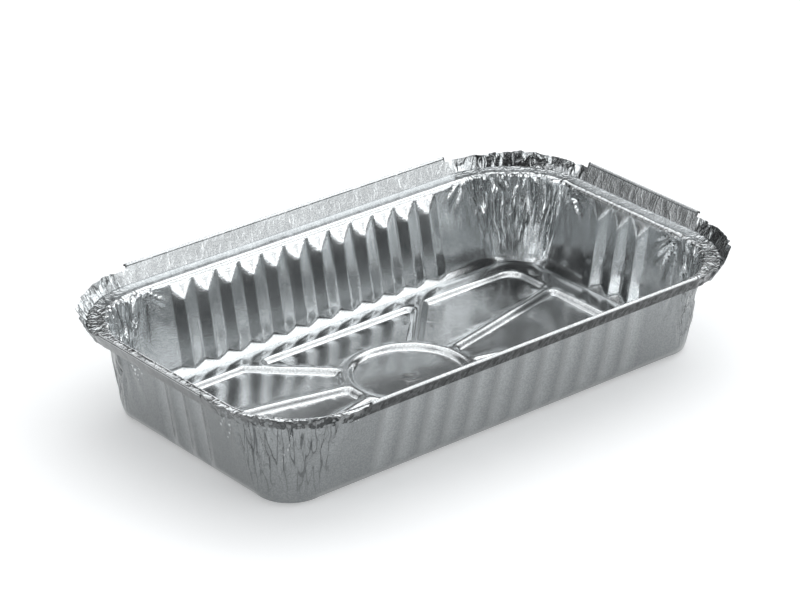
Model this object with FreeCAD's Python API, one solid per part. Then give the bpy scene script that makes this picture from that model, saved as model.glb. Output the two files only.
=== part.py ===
import math
import os

import FreeCAD
import Part

# Aluminium foil tray, one folded sheet: ribbed floor, fluted walls, flat ledge,
# upright rim with a curled hem on the straight sides, loose pleated corners.
# Millimetres, plus Z up, origin on the rest plane under the middle of the tray.

# Sheet
foil_thickness = 0.12

# Rim in plan, at the foot of the hem
rim_half_length = 125.0
rim_half_width = 75.5
rim_corner_radius = 43.0

# Heights above the rest plane, and drops below the ledge, the wall top and the rim
panel_depth = 1.8
wall_foot_height = 4.9
ledge_height = 39.9
rim_height = 47.0
ledge_edge_drop = 1.0
flute_top_drop = 6.9
corner_rim_drop = 2.1

# Section, as horizontal runs from the rim inwards
upright_run = 3.2
ledge_width = 7.4
ledge_edge_run = 0.7
long_wall_run = 7.3
short_wall_run = 5.6
foot_chamfer_run = 2.1

# Corner radius at the foot of the wall
foot_corner_radius = 19.0

# Curled hem in section
hem_radius = 0.55
hem_steps = 6
hem_wrap_degrees = 192.0

# Wall flutes, which stand inwards
flute_pitch = 11.45
flute_depth = 0.95
flute_flat = 1.2
plain_wall_length = 12.5

# Corner pleats
pleats_per_corner = 11
pleat_depth_foot = 0.1
pleat_depth_wall = 0.85
pleat_depth_ledge = 0.35
pleat_depth_rim = 0.7
pleat_uneven = 0.28
pleat_turn = 2.4

# Floor embossing: panels pressed down between a border, a ring and straight ribs
floor_border_length = 10.4
floor_border_width = 8.2
floor_corner_radius = 8.0
rib_top_width = 2.4
ring_outer_radius = 27.0
ring_width = 2.6
first_rib_angle = 13.5
second_rib_angle = 46.0
panel_corner_radius = 3.2
panel_corner_steps = 4
panel_slope_degrees = 45.0
ring_step_degrees = 9.0
disc_steps = 40

# Closest distance at which two points count as one, and flatness of a face
same_point = 1e-6
flat_enough = 1e-7

# Degrees in a quarter and a half turn
quarter_turn = 90.0
half_turn = 180.0

half_sheet = foil_thickness / 2.0
ledge_inner_inset = upright_run + ledge_width
wall_top_height = ledge_height - ledge_edge_drop
flute_shoulder_height = wall_top_height - flute_top_drop
corner_rim_height = rim_height - corner_rim_drop
ring_inner_radius = ring_outer_radius - ring_width


def vec(x, y, z=0.0):
    return FreeCAD.Vector(x, y, z)


class Loop:
    """Rounded rectangle in plan that carries one row of the sheet."""

    def __init__(self, half_length, half_width, radius):
        self.half_length = half_length
        self.half_width = half_width
        self.radius = radius

    def inset(self, distance):
        return Loop(self.half_length - distance, self.half_width - distance, self.radius - distance)


rim_loop = Loop(rim_half_length, rim_half_width, rim_corner_radius)
ledge_outer_loop = rim_loop.inset(upright_run)
ledge_inner_loop = rim_loop.inset(ledge_inner_inset)
wall_top_loop = ledge_inner_loop.inset(ledge_edge_run)
foot_loop = Loop(
    wall_top_loop.half_length - short_wall_run,
    wall_top_loop.half_width - long_wall_run,
    foot_corner_radius,
)
floor_loop = foot_loop.inset(foot_chamfer_run)

# Middle of the sheet at each level
floor_level = panel_depth + half_sheet
ledge_level = ledge_height - half_sheet
hem_centre_level = rim_height - half_sheet - hem_radius
upright_rise = hem_centre_level - ledge_level
upright_slant = math.hypot(upright_run, upright_rise)
upright_top_level = hem_centre_level + hem_radius * upright_run / upright_slant
corner_rim_share = (corner_rim_height - ledge_level) / (upright_top_level - ledge_level)


class Column:
    """One line of the sheet from the floor to the rim, at one place round the tray."""

    def __init__(self, outward, flute=0.0, pleat=0.0, corner=None, along=None, where=0.0, hemmed=True):
        self.outward = outward
        self.flute = flute
        self.pleat = pleat
        self.corner = corner
        self.along = along
        self.where = where
        self.hemmed = hemmed

    def on(self, loop):
        """Place of this column on a loop, in plan."""
        if self.corner is not None:
            centre = vec(
                self.corner.x * (loop.half_length - loop.radius),
                self.corner.y * (loop.half_width - loop.radius),
            )
            return centre + self.outward * loop.radius
        reach = abs(self.outward.x) * loop.half_length + abs(self.outward.y) * loop.half_width
        return self.outward * reach + self.along * self.where


def pleat_share(index, steps):
    """Part of the corner turn at a pleat fold, set a little unevenly."""
    if index in (0, steps):
        return index / steps
    return (index + pleat_uneven * math.sin(pleat_turn * index)) / steps


def pleat_swing(index, steps):
    """Signed share of the pleat depth at a fold, zero at both ends of the corner."""
    if index in (0, steps):
        return 0.0
    sign = 1.0 if index % 2 else -1.0
    return sign * (1.0 - pleat_uneven * (1.0 + math.sin(pleat_turn * index * index)))


def corner_columns(turn):
    """Columns round one corner; turn counts quarter turns from plus X."""
    start = turn * quarter_turn
    middle = math.radians(start + quarter_turn / 2.0)
    corner = vec(math.copysign(1.0, math.cos(middle)), math.copysign(1.0, math.sin(middle)))
    steps = 2 * pleats_per_corner
    columns = []
    for index in range(steps + 1):
        angle = math.radians(start + quarter_turn * pleat_share(index, steps))
        outward = vec(math.cos(angle), math.sin(angle))
        at_end = index in (0, steps)
        columns.append(Column(outward, pleat=pleat_swing(index, steps), corner=corner, hemmed=at_end))
    return columns


def side_columns(turn):
    """Columns of the straight side that follows a corner, four for each flute."""
    angle = math.radians((turn + 1) * quarter_turn)
    outward = vec(round(math.cos(angle)), round(math.sin(angle)))
    along = vec(-outward.y, outward.x)
    half_side = wall_top_loop.half_length if outward.y else wall_top_loop.half_width
    fluted = 2.0 * (half_side - wall_top_loop.radius - plain_wall_length)
    count = int(fluted / flute_pitch)
    half_flat = flute_flat / 2.0
    half_pitch = flute_pitch / 2.0
    columns = []
    for index in range(count):
        middle = (index - (count - 1) / 2.0) * flute_pitch
        columns.append(Column(outward, along=along, where=middle - half_pitch + half_flat))
        columns.append(Column(outward, flute=1.0, along=along, where=middle - half_flat))
        columns.append(Column(outward, flute=1.0, along=along, where=middle + half_flat))
        columns.append(Column(outward, along=along, where=middle + half_pitch - half_flat))
    return columns


def wall_share(height):
    """Part of the way up the wall between its foot and its top."""
    return (height - wall_foot_height) / (wall_top_height - wall_foot_height)


def foot_height(column):
    """Height where the wall of this column lands on the chamfer of the foot."""
    if column.flute == 0.0:
        return wall_foot_height
    run = (column.on(wall_top_loop) - column.on(foot_loop)).dot(column.outward)
    wall_slope = run / (wall_top_height - wall_foot_height)
    chamfer_slope = foot_chamfer_run / (wall_foot_height - floor_level)
    return wall_foot_height - flute_depth * column.flute / (chamfer_slope - wall_slope)


def on_wall(column, height, pleat_depth):
    """Point on the wall at a height, with flute and pleat."""
    share = wall_share(height)
    point = column.on(foot_loop) * (1.0 - share) + column.on(wall_top_loop) * share
    shift = column.pleat * pleat_depth - column.flute * flute_depth
    return point + column.outward * shift + vec(0, 0, height)


def on_loop(column, loop, height, pleat_depth):
    return column.on(loop) + column.outward * (column.pleat * pleat_depth) + vec(0, 0, height)


def section(column):
    """Middle line of the sheet at one column, from the floor edge up to the rim."""
    points = [on_loop(column, floor_loop, floor_level, 0.0)]
    points.append(on_wall(column, foot_height(column), pleat_depth_foot))
    wall_top = on_loop(column, wall_top_loop, wall_top_height, pleat_depth_wall)
    if column.flute > 0.0 or column.pleat != 0.0:
        points.append(on_wall(column, flute_shoulder_height, pleat_depth_wall))
    else:
        points.append(wall_top)
    points.append(wall_top)
    points.append(on_loop(column, ledge_inner_loop, ledge_level, pleat_depth_ledge))
    ledge_outer = on_loop(column, ledge_outer_loop, ledge_level, pleat_depth_ledge)
    points.append(ledge_outer)
    upright_top = on_loop(column, rim_loop, upright_top_level, 0.0)
    swing = column.outward * (column.pleat * pleat_depth_rim)
    points.append(ledge_outer * (1.0 - corner_rim_share) + upright_top * corner_rim_share + swing)
    if not column.hemmed:
        return points
    points.append(upright_top)
    away = column.outward * (upright_rise / upright_slant) - vec(0, 0, upright_run / upright_slant)
    up_slope = column.outward * (upright_run / upright_slant) + vec(0, 0, upright_rise / upright_slant)
    centre = upright_top + away * hem_radius
    for step in range(1, hem_steps + 1):
        angle = math.radians(hem_wrap_degrees * step / hem_steps)
        curl = up_slope * math.sin(angle) - away * math.cos(angle)
        points.append(centre + curl * hem_radius)
    return points


def mitre(first, second, distance):
    """Offset at a bend between two unit normals, so both sides keep the distance."""
    return (first + second) * (distance / (1.0 + first.dot(second)))


def skins(column):
    """Outer and inner points of the sheet along one column."""
    middle = section(column)
    normals = []
    for low, high in zip(middle[:-1], middle[1:]):
        rise = high.z - low.z
        run = (high - low).dot(column.outward)
        length = math.hypot(run, rise)
        if length < same_point:
            normals.append(None)
            continue
        normals.append(column.outward * (-rise / length) + vec(0, 0, run / length))
    before = [vec(0, 0, 1)]
    for normal in normals:
        before.append(normal if normal is not None else before[-1])
    after = [before[-1]]
    for normal in reversed(normals):
        after.append(normal if normal is not None else after[-1])
    after.reverse()
    outer = []
    inner = []
    for point, low_normal, high_normal in zip(middle, before, after):
        shift = mitre(low_normal, high_normal, half_sheet)
        outer.append(point - shift)
        inner.append(point + shift)
    return outer, inner


faces = []


def add_face(points):
    """Flat face through three or more points, split when four are not in one plane."""
    clean = []
    for point in points:
        if not clean or (point - clean[-1]).Length > same_point:
            clean.append(point)
    if len(clean) > 1 and (clean[0] - clean[-1]).Length < same_point:
        clean.pop()
    if len(clean) < 3:
        return
    if len(clean) == 4:
        cross = (clean[1] - clean[0]).cross(clean[2] - clean[0])
        cross.normalize()
        if abs(cross.dot(clean[3] - clean[0])) > flat_enough:
            add_face([clean[0], clean[1], clean[2]])
            add_face([clean[0], clean[2], clean[3]])
            return
    faces.append(Part.Face(Part.makePolygon(clean + [clean[0]])))


columns = []
for turn in range(4):
    columns.extend(corner_columns(turn))
    columns.extend(side_columns(turn))
column_skins = [skins(column) for column in columns]

# Last row of the pleated corners
corner_row = len(section(columns[1])) - 1

for index, column in enumerate(columns):
    following = (index + 1) % len(columns)
    here_outer, here_inner = column_skins[index]
    next_outer, next_inner = column_skins[following]
    both_hemmed = column.hemmed and columns[following].hemmed
    last_row = len(here_outer) - 1 if both_hemmed else corner_row
    for row in range(last_row):
        add_face([here_outer[row], next_outer[row], next_outer[row + 1], here_outer[row + 1]])
        add_face([here_inner[row], here_inner[row + 1], next_inner[row + 1], next_inner[row]])
    add_face([here_outer[last_row], next_outer[last_row], next_inner[last_row], here_inner[last_row]])
    if column.corner is not None and column.hemmed:
        for row in range(corner_row, len(here_outer) - 1):
            add_face([here_outer[row], here_outer[row + 1], here_inner[row + 1], here_inner[row]])


def round_corner(before, corner, after, radius):
    """Points of an arc that rounds a corner between two straight lines."""
    towards_before = (before - corner).normalize()
    towards_after = (after - corner).normalize()
    half_angle = math.acos(max(-1.0, min(1.0, towards_before.dot(towards_after)))) / 2.0
    start = corner + towards_before * (radius / math.tan(half_angle))
    centre = corner + (towards_before + towards_after).normalize() * (radius / math.sin(half_angle))
    sweep = math.pi - 2.0 * half_angle
    arm = start - centre
    points = []
    for step in range(panel_corner_steps + 1):
        angle = sweep * step / panel_corner_steps
        turned = vec(
            arm.x * math.cos(angle) - arm.y * math.sin(angle),
            arm.x * math.sin(angle) + arm.y * math.cos(angle),
        )
        points.append(centre + turned)
    return points


def bend(start, control, end):
    """Points of a smooth bend that leaves start towards control and arrives at end."""
    points = []
    for step in range(panel_corner_steps + 1):
        share = step / panel_corner_steps
        rest = 1.0 - share
        points.append(start * (rest * rest) + control * (2.0 * rest * share) + end * (share * share))
    return points


floor_half_length = floor_loop.half_length - floor_border_length
floor_half_width = floor_loop.half_width - floor_border_width


def rib_edge(angle_degrees, side):
    """Inner and outer end of one edge of a rib, and whether it ends on a short side."""
    angle = math.radians(angle_degrees)
    direction = vec(math.cos(angle), math.sin(angle))
    shift = vec(-direction.y, direction.x) * (side * rib_top_width / 2.0)
    inner = direction * math.sqrt(ring_outer_radius ** 2 - shift.Length ** 2) + shift
    to_short = (math.copysign(floor_half_length, direction.x) - shift.x) / direction.x
    to_long = (math.copysign(floor_half_width, direction.y) - shift.y) / direction.y
    outer = direction * min(to_short, to_long) + shift
    return inner, outer, to_short < to_long


def ring_point(angle):
    return vec(math.cos(angle), math.sin(angle)) * ring_outer_radius


def panel_outline(first_angle, second_angle):
    """Top outline of the pressed panel between two ribs, turning left."""
    first_inner, first_outer, first_short = rib_edge(first_angle, 1.0)
    second_inner, second_outer, second_short = rib_edge(second_angle, -1.0)
    radius = panel_corner_radius
    turn = radius / ring_outer_radius
    first_ring = math.atan2(first_inner.y, first_inner.x) + turn
    second_ring = math.atan2(second_inner.y, second_inner.x) - turn
    if second_ring < first_ring:
        second_ring += 2.0 * math.pi
    first_way = (first_outer - first_inner).normalize()
    second_way = (second_outer - second_inner).normalize()
    points = bend(ring_point(first_ring), first_inner, first_inner + first_way * radius)
    if first_short == second_short:
        points.extend(round_corner(first_inner, first_outer, second_outer, radius))
        points.extend(round_corner(first_outer, second_outer, second_inner, radius))
    else:
        corner = vec(
            math.copysign(floor_half_length, first_outer.x),
            math.copysign(floor_half_width, first_outer.y),
        )
        points.extend(round_corner(first_inner, first_outer, corner, radius))
        points.extend(round_corner(first_outer, corner, second_outer, floor_corner_radius))
        points.extend(round_corner(corner, second_outer, second_inner, radius))
    points.extend(bend(second_inner + second_way * radius, second_inner, ring_point(second_ring)))
    steps = max(2, round(math.degrees(second_ring - first_ring) / ring_step_degrees))
    for step in range(1, steps):
        points.append(ring_point(second_ring + (first_ring - second_ring) * step / steps))
    return points


def inset(points, distance):
    """Outline moved inwards by a distance, with mitred corners."""
    moved = []
    for index, point in enumerate(points):
        before = (point - points[index - 1]).normalize()
        after = (points[(index + 1) % len(points)] - point).normalize()
        first = vec(-before.y, before.x)
        second = vec(-after.y, after.x)
        moved.append(point + mitre(first, second, distance))
    return moved


def closed_wire(points, height):
    lifted = [point + vec(0, 0, height) for point in points]
    return Part.makePolygon(lifted + [lifted[0]])


outlines = []
rib_angles = []
for mirror in (0.0, half_turn):
    rib_angles.extend([mirror + first_rib_angle, mirror + second_rib_angle])
    rib_angles.extend([mirror + half_turn - second_rib_angle, mirror + half_turn - first_rib_angle])
for index, rib_angle in enumerate(rib_angles):
    outlines.append(panel_outline(rib_angle, rib_angles[(index + 1) % len(rib_angles)]))
disc = []
for step in range(disc_steps):
    angle = 2.0 * math.pi * step / disc_steps
    disc.append(vec(math.cos(angle), math.sin(angle)) * ring_inner_radius)
outlines.append(disc)

# Run of the pressed slopes, and how far the upper skin shifts inwards to keep the thickness
slope_run = panel_depth / math.tan(math.radians(panel_slope_degrees))
skin_shift = foil_thickness * math.tan(math.radians(panel_slope_degrees / 2.0))

for skin, shift, lift in ((0, 0.0, 0.0), (1, skin_shift, foil_thickness)):
    edge = [column_skin[skin][0] for column_skin in column_skins]
    wires = [Part.makePolygon(edge + [edge[0]])]
    for outline in outlines:
        top = inset(outline, shift)
        low = inset(outline, shift + slope_run)
        wires.append(closed_wire(top, panel_depth + lift))
        low_wire = closed_wire(low, lift)
        faces.append(Part.Face(low_wire))
        for index in range(len(top)):
            following = (index + 1) % len(top)
            add_face([
                top[index] + vec(0, 0, panel_depth + lift),
                top[following] + vec(0, 0, panel_depth + lift),
                low[following] + vec(0, 0, lift),
                low[index] + vec(0, 0, lift),
            ])
    faces.append(Part.Face(wires, "Part::FaceMakerBullseye"))

shell = Part.Shell(faces)
shell.sewShape()
solid = Part.Solid(shell.Shells[0])
if solid.Volume < 0.0:
    solid.reverse()
tray = solid.removeSplitter()

os.makedirs("parts", exist_ok=True)
tray.exportStep("parts/foil_tray.step")
print("faces", len(tray.Faces), "valid", tray.isValid(), "closed", tray.isClosed())
print("volume", round(tray.Volume, 1), "box", tray.BoundBox)
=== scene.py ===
"""Looks of an aluminium foil tray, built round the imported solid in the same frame."""

import logging
import math
from collections.abc import Callable
from dataclasses import dataclass, field, fields
from enum import Enum
from typing import Any

import bpy
import numpy as np
from mathutils import Matrix, Vector
from mathutils.geometry import delaunay_2d_cdt


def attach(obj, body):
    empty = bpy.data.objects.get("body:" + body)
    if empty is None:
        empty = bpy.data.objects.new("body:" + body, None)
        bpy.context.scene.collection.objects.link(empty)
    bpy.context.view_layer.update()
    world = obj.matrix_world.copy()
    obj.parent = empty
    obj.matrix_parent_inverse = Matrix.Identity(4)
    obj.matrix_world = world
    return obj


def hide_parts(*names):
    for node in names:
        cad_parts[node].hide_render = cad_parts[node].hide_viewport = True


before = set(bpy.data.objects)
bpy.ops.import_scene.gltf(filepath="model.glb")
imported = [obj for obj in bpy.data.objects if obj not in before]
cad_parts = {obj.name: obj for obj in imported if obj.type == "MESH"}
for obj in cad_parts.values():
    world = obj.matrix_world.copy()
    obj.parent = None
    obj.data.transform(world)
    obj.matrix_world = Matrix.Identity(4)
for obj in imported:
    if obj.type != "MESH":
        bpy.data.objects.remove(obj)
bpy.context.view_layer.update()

log = logging.getLogger("foil_tray")

MM = 0.001

Array = np.ndarray
Pair = tuple[float, float]
Triple = tuple[float, float, float]
Colour = tuple[float, float, float, float]
Face = tuple[int, ...]


# ---------------------------------------------------------------- shader maths


class Signal:
    """One output socket that can be used in shader maths."""

    def __init__(self, graph: "Graph", socket: bpy.types.NodeSocket) -> None:
        """Keep the graph and the socket."""
        self.graph = graph
        self.socket = socket

    def _math(self, operation: str, first: Any, second: Any) -> "Signal":
        """Add one Math node.

        Args:
            operation: name of the Math node's operation.
            first: value or signal of the first socket.
            second: value or signal of the second socket.

        Returns:
            The result as a signal.
        """
        return self.graph.node("ShaderNodeMath", {"operation": operation}, {0: first, 1: second})

    def __add__(self, other: Any) -> "Signal":
        """Sum with a number or a signal."""
        return self._math("ADD", self, other)

    __radd__ = __add__

    def __sub__(self, other: Any) -> "Signal":
        """Difference from a number or a signal."""
        return self._math("SUBTRACT", self, other)

    def __rsub__(self, other: Any) -> "Signal":
        """Number less this signal."""
        return self._math("SUBTRACT", other, self)

    def __mul__(self, other: Any) -> "Signal":
        """Product with a number or a signal."""
        return self._math("MULTIPLY", self, other)

    __rmul__ = __mul__

    def __abs__(self) -> "Signal":
        """Size of this signal without its sign."""
        return self._math("ABSOLUTE", self, 0.0)

    def below(self, other: Any) -> "Signal":
        """Smaller of this signal and another value."""
        return self._math("MINIMUM", self, other)

    def ramp(self, low: float, high: float) -> "Signal":
        """Smooth step of this signal.

        Args:
            low: value at which the step starts.
            high: value at which it is complete.

        Returns:
            A signal from 0 to 1.
        """
        settings = {"interpolation_type": "SMOOTHSTEP", "clamp": True}
        values = {"Value": self, "From Min": low, "From Max": high, "To Min": 0.0, "To Max": 1.0}
        return self.graph.node("ShaderNodeMapRange", settings, values)


class Graph:
    """Node tree of a material or the world."""

    def __init__(self, tree: bpy.types.NodeTree) -> None:
        """Empty the tree and keep it."""
        tree.nodes.clear()
        self.tree = tree

    def node(
        self,
        kind: str,
        settings: dict[str, Any] | None = None,
        values: dict[str | int, Any] | None = None,
        output: str | int = 0,
    ) -> Signal:
        """Add a node of any type.

        Args:
            kind: Blender's name of the node type.
            settings: properties of the node, which are set first.
            values: socket values or links, by socket name or number.
            output: name or number of the output that is wanted.

        Returns:
            The wanted output as a signal.
        """
        made = self.tree.nodes.new(kind)
        for name, value in (settings or {}).items():
            setattr(made, name, value)
        for name, value in (values or {}).items():
            socket = made.inputs[name]
            if isinstance(value, Signal):
                self.tree.links.new(value.socket, socket)
            else:
                socket.default_value = value
        return Signal(self, made.outputs[output] if len(made.outputs) else None)

    def blend(self, share: Any, first: Any, second: Any) -> Signal:
        """Mix two colours.

        Args:
            share: part of the second colour.
            first: first colour or signal.
            second: second colour or signal.

        Returns:
            The mixed colour.
        """
        settings = {"data_type": "RGBA"}
        return self.node("ShaderNodeMix", settings, {0: share, 6: first, 7: second}, 2)


# ---------------------------------------------------------------------- finish


@dataclass(frozen=True)
class Grain:
    """Noise in the surface of the foil, with waves a metre along each axis."""

    scale: Triple
    octaves: float = 2.0
    roughness: float = 0.5
    line_width: float = 0.0

    def pattern(self, graph: Graph, place: Signal) -> Signal:
        """Add the noise.

        Args:
            graph: graph that takes the nodes.
            place: coordinates in metres.

        Returns:
            A signal of about 0 to 1.
        """
        stretched = graph.node("ShaderNodeMapping", values={"Vector": place, "Scale": self.scale})
        values = {"Vector": stretched, "Scale": 1.0, "Detail": self.octaves}
        values["Roughness"] = self.roughness
        return graph.node("ShaderNodeTexNoise", values=values)

    def lines(self, graph: Graph, place: Signal) -> Signal:
        """Thin curved lines along the noise's middle value, 1 on a line and 0 away from it."""
        return 1.0 - abs(self.pattern(graph, place) - 0.5).ramp(0.0, self.line_width)


@dataclass(frozen=True)
class FoilFinish:
    """Bright rolled aluminium foil with a fine grain and pressed creases.

    Depths are in metres. A step says between which values of its layer that layer sets in.
    The other numbers say how much each layer adds to the creases, to the dullness, to the
    tone and to the painted shade. The darker skin colour is painted shade, on the whole outer
    skin and in folds, flute flanks and rims of the inner one, and the near-black colour is
    painted shade along crease lines and on the rim and hem.
    """

    name: str = "bright_rolled_foil"
    colour: Colour = (0.735, 0.753, 0.76, 1.0)
    dull_colour: Colour = (0.545, 0.563, 0.57, 1.0)
    # Painted shade: a darker copy of the foil for the outer skin and the shaded places of the
    # inner one.
    painted_shade_colour: Colour = (0.25, 0.262, 0.266, 1.0)
    # Painted shade: near black, along crease lines and on the rim and hem.
    deep_shade_colour: Colour = (0.018, 0.02, 0.021, 1.0)
    smooth_roughness: float = 0.11
    dull_roughness: float = 0.24
    grain_depth: float = 0.000035
    roll_depth: float = 0.000004
    crease_depth: float = 0.00012
    dent_depth: float = 0.00006
    grain: Grain = Grain((1500.0, 1500.0, 1500.0), roughness=0.6)
    rolled: Grain = Grain((45.0, 1500.0, 1500.0), roughness=0.6)
    cloud: Grain = Grain((38.0, 38.0, 30.0), 3.0, 0.55)
    wisps: Grain = Grain((330.0, 330.0, 80.0))
    patches: Grain = Grain((520.0, 520.0, 340.0))
    fine_lines: Grain = Grain((420.0, 420.0, 110.0), 1.0, 0.4, 0.045)
    small_lines: Grain = Grain((900.0, 900.0, 380.0), 1.0, 0.4, 0.05)
    long_lines: Grain = Grain((330.0, 330.0, 21.0), 1.0, 0.4, 0.1)
    fine_share: float = 0.2
    small_share: float = 0.15
    cloud_step: Pair = (0.3, 0.75)
    dull_step: Pair = (0.35, 0.7)
    tone_step: Pair = (0.4, 0.6)
    long_step: Pair = (0.84, 1.0)
    fine_step: Pair = (0.6, 1.0)
    # Where lighter painted patches break the painted shade of the rim.
    rim_shade_gap_step: Pair = (0.47, 0.57)
    cloud_dullness: float = 0.45
    satin_dullness: float = 0.4
    grain_dullness: float = 0.25
    dull_tone: float = 0.4
    # Painted shade along the creases.
    crease_shade_tone: float = 0.4
    grain_tone: float = 0.6
    # Least share of the painted shade colour where the outside mask lays it.
    painted_shade_cover: float = 0.85
    # Painted shade along crease lines, near black at most, weaker on the inner skin.
    long_crease_shade: float = 0.55
    fine_crease_shade: float = 0.3
    darkest_crease_shade: float = 0.7
    inner_crease_shade: float = 0.5
    # Painted shade of the rim: how much the lighter painted patches lift it, and its least share.
    rim_shade_gap_share: float = 0.95
    rim_shade_cover: float = 0.93

    def material(self) -> bpy.types.Material:
        """Make the material.

        Returns:
            A metal whose colour, roughness and normal vary over the sheet.
        """
        made = bpy.data.materials.new(self.name)
        made.use_nodes = True
        graph = Graph(made.node_tree)
        place = graph.node("ShaderNodeTexCoord", output="Object")
        crumple = self._mask(graph, "crumple")
        satin = self._mask(graph, "satin")
        # These two masks carry painted shade: the outside one for the darker skin, the next one
        # for the near-black rim and hem.
        outside = self._mask(graph, "outside")
        painted_rim_shade = self._mask(graph, "painted_rim_shade")

        grain = self.grain.pattern(graph, place)
        rolled = self.rolled.pattern(graph, place)
        cloud = self.cloud.pattern(graph, place)
        wisps = self.wisps.pattern(graph, place)
        patches = self.patches.pattern(graph, place)
        fine_lines = self.fine_lines.lines(graph, place)
        small_lines = self.small_lines.lines(graph, place)
        long_lines = self.long_lines.lines(graph, place)

        creases = fine_lines * self.fine_share + small_lines * self.small_share + long_lines
        creases = creases * crumple
        grain_bump = self._bump(graph, grain, self.grain_depth, None)
        rolled_bump = self._bump(graph, rolled, self.roll_depth, grain_bump)
        dents = self._bump(graph, wisps * crumple, self.dent_depth, rolled_bump)
        normal = self._bump(graph, creases, self.crease_depth, dents)

        dullness = cloud.ramp(*self.cloud_step) * self.cloud_dullness + satin * self.satin_dullness
        dullness = (dullness + grain.ramp(*self.dull_step) * self.grain_dullness).below(1.0)
        reach = self.dull_roughness - self.smooth_roughness
        roughness = dullness * reach + self.smooth_roughness

        # Shade is partly random tone from dullness and grain, partly painted shade along the
        # creases.
        shade = dullness * self.dull_tone + creases * self.crease_shade_tone
        shade = (shade + grain.ramp(*self.tone_step) * self.grain_tone).below(1.0)
        colour = graph.blend(shade, self.colour, self.dull_colour)
        # Painted shade: the outside mask darkens the outer skin all over and the inner skin in
        # folds, flute flanks and rims.
        cover = outside * (self.painted_shade_cover + (1.0 - self.painted_shade_cover) * shade)
        colour = graph.blend(cover, colour, self.painted_shade_colour)
        # Painted shade along the crease lines, weaker on the inner skin.
        crease_lines_shade = long_lines.ramp(*self.long_step) * self.long_crease_shade
        crease_lines_shade = crease_lines_shade + fine_lines.ramp(*self.fine_step) * self.fine_crease_shade
        crease_lines_shade = crease_lines_shade.below(self.darkest_crease_shade) * crumple
        crease_lines_shade = crease_lines_shade * (self.inner_crease_shade + (1.0 - self.inner_crease_shade) * outside)
        colour = graph.blend(crease_lines_shade, colour, self.deep_shade_colour)
        # Painted shade on the rim and hem, near black, lifted in lighter painted patches where the
        # sheet is folded.
        rim_shade_gaps = patches.ramp(*self.rim_shade_gap_step) * crumple
        cover = self.rim_shade_cover + (1.0 - self.rim_shade_cover) * shade
        colour = graph.blend(painted_rim_shade * (1.0 - rim_shade_gaps * self.rim_shade_gap_share) * cover, colour, self.deep_shade_colour)
        values = {"Base Color": colour, "Metallic": 1.0, "Roughness": roughness, "Normal": normal}
        surface = graph.node("ShaderNodeBsdfPrincipled", values=values)
        graph.node("ShaderNodeOutputMaterial", values={"Surface": surface})
        return made

    @staticmethod
    def _mask(graph: Graph, name: str) -> Signal:
        """Read a mask that the mesh carries at its points."""
        return graph.node("ShaderNodeAttribute", {"attribute_name": name}, output="Fac")

    @staticmethod
    def _bump(graph: Graph, height: Signal, depth: float, before: Signal | None) -> Signal:
        """Add a bump over an earlier normal.

        Args:
            graph: graph that takes the node.
            height: height from 0 to 1.
            depth: real depth of a height of 1, in metres.
            before: earlier normal, or none.

        Returns:
            The normal.
        """
        values: dict[str | int, Any] = {"Height": height, "Distance": depth, "Strength": 1.0}
        if before is not None:
            values["Normal"] = before
        return graph.node("ShaderNodeBump", values=values)


# --------------------------------------------------------------- plan and rows


@dataclass(frozen=True)
class Loop:
    """Rounded rectangle in plan, in millimetres."""

    half_length: float
    half_width: float
    radius: float

    def inset(self, distance: float) -> "Loop":
        """Loop that lies further in by a distance."""
        smaller = (self.half_length - distance, self.half_width - distance, self.radius - distance)
        return Loop(*smaller)

    def towards(self, other: "Loop", share: float) -> "Loop":
        """Loop between this one and another.

        Args:
            other: the other loop.
            share: part of the way to it.

        Returns:
            The loop between them.
        """
        rest = 1.0 - share
        return Loop(
            self.half_length * rest + other.half_length * share,
            self.half_width * rest + other.half_width * share,
            self.radius * rest + other.radius * share,
        )


class Side(Enum):
    """Kind of a straight side, by the number that its columns carry."""

    LONG = 1.0
    SHORT = 2.0


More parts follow.
